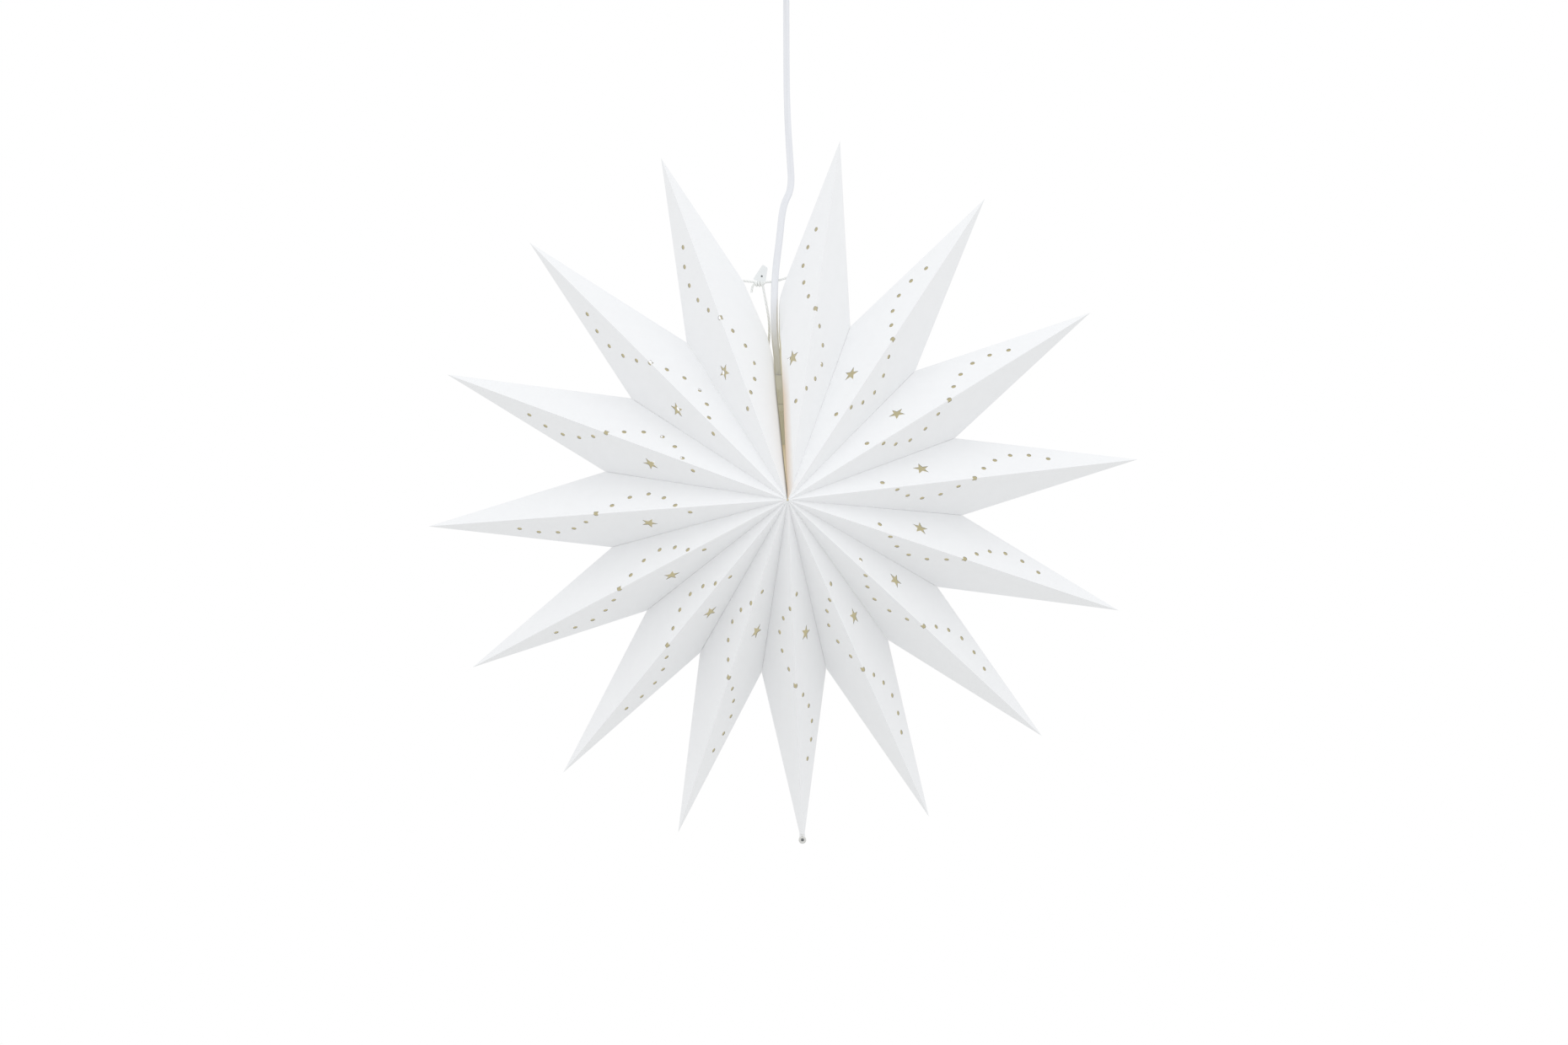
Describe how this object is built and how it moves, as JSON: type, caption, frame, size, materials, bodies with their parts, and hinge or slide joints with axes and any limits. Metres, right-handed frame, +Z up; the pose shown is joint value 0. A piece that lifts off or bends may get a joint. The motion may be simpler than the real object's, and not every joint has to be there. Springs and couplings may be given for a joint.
{
  "type": "moravian star pendant",
  "caption": "Folding paper star pendant with punched hollow arms tied at a slit on top, hung on a flat cord with an inner lampholder and ceiling cup.",
  "frame": {"origin": "middle of the ceiling plate's upper face", "axes": "+Z up, front of the star towards -Y"},
  "size_m": [0.5945, 0.1888, 0.7966],
  "materials": {
    "white_card": "matt folded card",
    "eyelet_metal": "rolled nickel-plated metal",
    "white_string": "twisted cotton",
    "toggle_plastic": "matt moulded",
    "cord_jacket": "soft PVC jacket",
    "holder_plastic": "satin moulded",
    "sleeve_metal": "plain",
    "contact_brass": "plain",
    "solder": "dull solder",
    "bulb_metal": "threaded sheet metal",
    "bulb_glass": "opal glass",
    "plate_steel": "zinc plated",
    "block_plastic": "moulded",
    "screw_brass": "plain",
    "cup_plastic": "satin moulded",
    "screw_nylon": "nylon",
    "core_jacket": "PVC core insulation"
  },
  "bodies": {
    "root": {"arm_08": "white_card", "tip_eyelet": "eyelet_metal", "tie_knot": "white_string", "tie_toggle": "toggle_plastic", "tie_tail": "white_string", "supply_cord": "cord_jacket", "lampholder_cap": "holder_plastic", "lampholder_body": "holder_plastic", "socket_sleeve": "sleeve_metal", "centre_contact": "contact_brass", "ceiling_plate": "plate_steel", "terminal_block": "block_plastic", "terminal_screws": "screw_brass", "cord_cores": "core_jacket", "cord_bracket": "plate_steel", "strain_clip": "block_plastic"},
    "arm_01": {"arm_01": "white_card", "tie_string_right": "white_string"},
    "arm_02": {"arm_02": "white_card"},
    "arm_03": {"arm_03": "white_card"},
    "arm_04": {"arm_04": "white_card"},
    "arm_05": {"arm_05": "white_card"},
    "arm_06": {"arm_06": "white_card"},
    "arm_07": {"arm_07": "white_card"},
    "arm_09": {"arm_09": "white_card"},
    "arm_10": {"arm_10": "white_card"},
    "arm_11": {"arm_11": "white_card"},
    "arm_12": {"arm_12": "white_card"},
    "arm_13": {"arm_13": "white_card"},
    "arm_14": {"arm_14": "white_card"},
    "arm_15": {"arm_15": "white_card", "tie_string_left": "white_string"},
    "bulb": {"bulb_tip": "solder", "bulb_cap": "bulb_metal", "bulb_glass": "bulb_glass"},
    "cup": {"ceiling_cup": "cup_plastic", "cord_gland": "cup_plastic", "gland_nut": "cup_plastic", "grip_screw": "screw_nylon"}
  },
  "joints": [
    {"name": "star_fold", "type": "hinge", "parent": "root", "child": "arm_01", "pos_m": [-0.00185, 0, -0.5], "axis": [0, 1, 0], "range_deg": [0, 157.5], "deforming": ["arm_01"]},
    {"name": "fold_arm_02", "type": "hinge", "parent": "root", "child": "arm_02", "pos_m": [-0.00185, 0, -0.5], "axis": [0, 1, 0], "range_deg": [0, 134.3], "deforming": ["arm_02"]},
    {"name": "fold_arm_03", "type": "hinge", "parent": "root", "child": "arm_03", "pos_m": [-0.00185, 0, -0.5], "axis": [0, 1, 0], "range_deg": [0, 110.6], "deforming": ["arm_03"]},
    {"name": "fold_arm_04", "type": "hinge", "parent": "root", "child": "arm_04", "pos_m": [-0.00185, 0, -0.5], "axis": [0, 1, 0], "range_deg": [0, 87], "deforming": ["arm_04"]},
    {"name": "fold_arm_05", "type": "hinge", "parent": "root", "child": "arm_05", "pos_m": [-0.00185, 0, -0.5], "axis": [0, 1, 0], "range_deg": [0, 63.7], "deforming": ["arm_05"]},
    {"name": "fold_arm_06", "type": "hinge", "parent": "root", "child": "arm_06", "pos_m": [-0.00185, 0, -0.5], "axis": [0, 1, 0], "range_deg": [0, 41.3], "deforming": ["arm_06"]},
    {"name": "fold_arm_07", "type": "hinge", "parent": "root", "child": "arm_07", "pos_m": [-0.00185, 0, -0.5], "axis": [0, 1, 0], "range_deg": [0, 20.2], "deforming": ["arm_07"]},
    {"name": "fold_arm_09", "type": "hinge", "parent": "root", "child": "arm_09", "pos_m": [-0.00185, 0, -0.5], "axis": [0, 1, 0], "range_deg": [-19.4, 0], "deforming": ["arm_09"]},
    {"name": "fold_arm_10", "type": "hinge", "parent": "root", "child": "arm_10", "pos_m": [-0.00185, 0, -0.5], "axis": [0, 1, 0], "range_deg": [-38.9, 0], "deforming": ["arm_10"]},
    {"name": "fold_arm_11", "type": "hinge", "parent": "root", "child": "arm_11", "pos_m": [-0.00185, 0, -0.5], "axis": [0, 1, 0], "range_deg": [-60, 0], "deforming": ["arm_11"]},
    {"name": "fold_arm_12", "type": "hinge", "parent": "root", "child": "arm_12", "pos_m": [-0.00185, 0, -0.5], "axis": [0, 1, 0], "range_deg": [-82.4, 0], "deforming": ["arm_12"]},
    {"name": "fold_arm_13", "type": "hinge", "parent": "root", "child": "arm_13", "pos_m": [-0.00185, 0, -0.5], "axis": [0, 1, 0], "range_deg": [-105.7, 0], "deforming": ["arm_13"]},
    {"name": "fold_arm_14", "type": "hinge", "parent": "root", "child": "arm_14", "pos_m": [-0.00185, 0, -0.5], "axis": [0, 1, 0], "range_deg": [-129.3, 0], "deforming": ["arm_14"]},
    {"name": "fold_arm_15", "type": "hinge", "parent": "root", "child": "arm_15", "pos_m": [-0.00185, 0, -0.5], "axis": [0, 1, 0], "range_deg": [-152.9, 0], "deforming": ["arm_15"]},
    {"name": "bulb_screw", "type": "hinge", "parent": "root", "child": "bulb", "pos_m": [-0.0066, 0, -0.45], "axis": [0, 0, -1], "range_deg": [0, 1260]},
    {"name": "cup_slide", "type": "slide", "parent": "root", "child": "cup", "axis": [0, 0, -1], "range_m": [0, 0.06]}
  ],
  "couplings": [
    {"joint": "fold_arm_02", "follows": "star_fold", "ratio": 0.8495},
    {"joint": "fold_arm_03", "follows": "star_fold", "ratio": 0.699},
    {"joint": "fold_arm_04", "follows": "star_fold", "ratio": 0.5492},
    {"joint": "fold_arm_05", "follows": "star_fold", "ratio": 0.4013},
    {"joint": "fold_arm_06", "follows": "star_fold", "ratio": 0.259},
    {"joint": "fold_arm_07", "follows": "star_fold", "ratio": 0.1251},
    {"joint": "fold_arm_09", "follows": "star_fold", "ratio": -0.12},
    {"joint": "fold_arm_10", "follows": "star_fold", "ratio": -0.2438},
    {"joint": "fold_arm_11", "follows": "star_fold", "ratio": -0.3778},
    {"joint": "fold_arm_12", "follows": "star_fold", "ratio": -0.52},
    {"joint": "fold_arm_13", "follows": "star_fold", "ratio": -0.6679},
    {"joint": "fold_arm_14", "follows": "star_fold", "ratio": -0.8178},
    {"joint": "fold_arm_15", "follows": "star_fold", "ratio": -0.9676}
  ]
}
